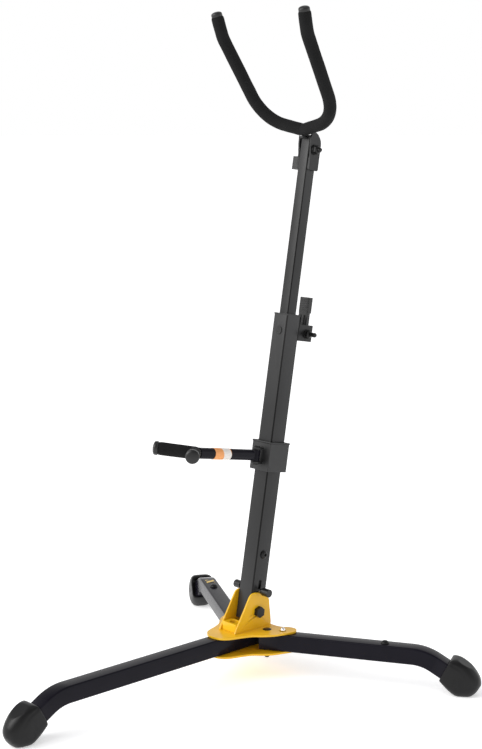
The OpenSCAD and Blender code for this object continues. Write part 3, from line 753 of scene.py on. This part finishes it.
FINISH = {
    "hub_top_plate": (YELLOW, 0.5), "hub_bottom_plate": (YELLOW, 0.5),
    "mast_bracket": (YELLOW, 0.5),
    "fold_rest": (YELLOW, 0.8), "bracket_rivets": (STEEL, 0.4),
    "fold_rest_bolt": (STEEL, 0.3), "mast_pivot_bolt": (BOLT, 0.5), "mast_pivot_nut": (BOLT, 0.5),
    "leg_pivot_bolt_right": (BOLT, 0.4), "leg_pivot_bolt_left": (BOLT, 0.4),
    "detent_ball_right": (CHROME, 0), "detent_ball_left": (CHROME, 0), "leg_badge": (BADGE, 0.1),
    "stop_screw": (BOLT, 0.3), "lock_pin": (STEEL, 0.4), "lock_pin_knobs": (PLASTIC, 0.8),
    "tube_bush": (PLASTIC, 0.4), "clamp_bracket": (MAST_BLACK, 0.6), "clamp_bolt": (BOLT, 0.3),
    "clamp_nut": (BOLT, 0.3), "clamp_shoe": (PLASTIC, 0.3), "clamp_lever": (PLASTIC, 0.4),
    "collar": (COLLAR, 0.9), "arm_pivot_pin": (BOLT, 0.3), "support_arm": (BLACK, 0.4),
    "arm_band": (LABEL, 0.1), "fork_rod": (STEEL, 0), "upper_plug": (PLASTIC, 0.4),
    "head_bolt": (BOLT, 0.3), "head_nut": (BOLT, 0.3), "head_bracket": (MAST_BLACK, 0.5),
    "head_liner": (PLASTIC, 0.2), "head_latch": (PLASTIC, 0.4), "cradle_rod": (STEEL, 0),
}

for node, (mat, edge) in FINISH.items():
    obj = NODES[node]
    obj.data.materials.clear()
    obj.data.materials.append(mat)
    for poly in obj.data.polygons:
        poly.use_smooth = True
    weld = obj.modifiers.new("weld", "WELD")
    weld.merge_threshold = 0.00002
    if edge:
        bevel = obj.modifiers.new("edge", "BEVEL")
        bevel.width = edge * MM
        bevel.segments = 3
        bevel.limit_method = "ANGLE"
        bevel.angle_limit = math.radians(32)
        flat = obj.modifiers.new("normals", "WEIGHTED_NORMAL")
        flat.weight = 100


# ---- camera, light and floor ----------------------------------------------

LENS = 74.932
SHIFT = (-0.003698, -0.116822)
CAMERA_FROM_HUB = Vector((1.4638, -1.3643, 0.7359))
PITCH, YAW = 0.1111, 0.8201

low, high = (Vector(p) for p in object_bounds())
hub = Vector((0, HUB_Y, 0))
cam_data = bpy.data.cameras.new("camera")
cam = bpy.data.objects.new("camera", cam_data)
bpy.context.scene.collection.objects.link(cam)
bpy.context.scene.camera = cam
cam_data.sensor_width = 36
cam_data.lens = LENS
cam_data.shift_x, cam_data.shift_y = SHIFT
cam_data.clip_start = 0.05
cam_data.clip_end = 50
cam.location = hub + CAMERA_FROM_HUB
cam.rotation_euler = (math.pi / 2 - PITCH, 0.0, YAW)


def area(name, place_at, aim, size, power, tint=(1, 1, 1)):
    data = bpy.data.lights.new(name, "AREA")
    data.shape = "RECTANGLE"
    data.size, data.size_y = size
    data.energy = power
    data.color = tint
    light = bpy.data.objects.new(name, data)
    bpy.context.scene.collection.objects.link(light)
    light.location = place_at
    way = Vector(aim) - Vector(place_at)
    light.rotation_euler = way.to_track_quat("-Z", "Y").to_euler()
    return light


tall = high.z - low.z
aim = Vector((0, HUB_Y, tall * 0.45))
area("key", (-1.6, -2.4, 1.9), aim, (1.4, 1.8), 34, (1.0, 0.99, 0.98))
area("top", (0.2, 0.6, 2.8), aim, (2.4, 2.4), 6, (0.97, 0.98, 1.0))
area("fill", (2.2, 2.0, 1.2), aim, (1.2, 1.8), 4, (0.96, 0.97, 1.0))
sun = bpy.data.objects.new("sun", bpy.data.lights.new("sun", "SUN"))
sun.data.energy = 1.2
sun.data.angle = math.radians(50)
sun.rotation_euler = (math.radians(42), math.radians(-18), 0)
bpy.context.scene.collection.objects.link(sun)

world = bpy.data.worlds.new("studio")
bpy.context.scene.world = world
world.use_nodes = True
nodes, links = world.node_tree.nodes, world.node_tree.links
coords = nodes.new("ShaderNodeTexCoord")
split = nodes.new("ShaderNodeSeparateXYZ")
sky = nodes.new("ShaderNodeValToRGB")
sky.color_ramp.elements[0].position = 0.18
sky.color_ramp.elements[0].color = (1, 1, 1, 1)
sky.color_ramp.elements[1].position = 0.75
sky.color_ramp.elements[1].color = (0.36, 0.36, 0.37, 1)
links.new(coords.outputs["Generated"], split.inputs["Vector"])
links.new(split.outputs["Z"], sky.inputs["Fac"])
links.new(sky.outputs["Color"], nodes["Background"].inputs["Color"])
nodes["Background"].inputs["Strength"].default_value = 1.0

bm = bmesh.new()
bmesh.ops.create_grid(bm, x_segments=1, y_segments=1, size=40)
floor_paint = Shader("floor_paint", 1.0)
floor_paint.color(floor_paint.ramp(floor_paint.noise(0.6), grey(0.93), grey(0.95)))
floor_paint.set(floor_paint.shader, "Specular IOR Level", 0.0)
floor_paint.set(floor_paint.shader, "Emission Color", (1, 1, 1, 1))
floor_paint.set(floor_paint.shader, "Emission Strength", 0.42)
floor = new_object("floor", bm, floor_paint.mat)
floor.location = (0, 0, low.z)
floor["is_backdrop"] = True
bpy.context.scene.view_settings.view_transform = "Standard"
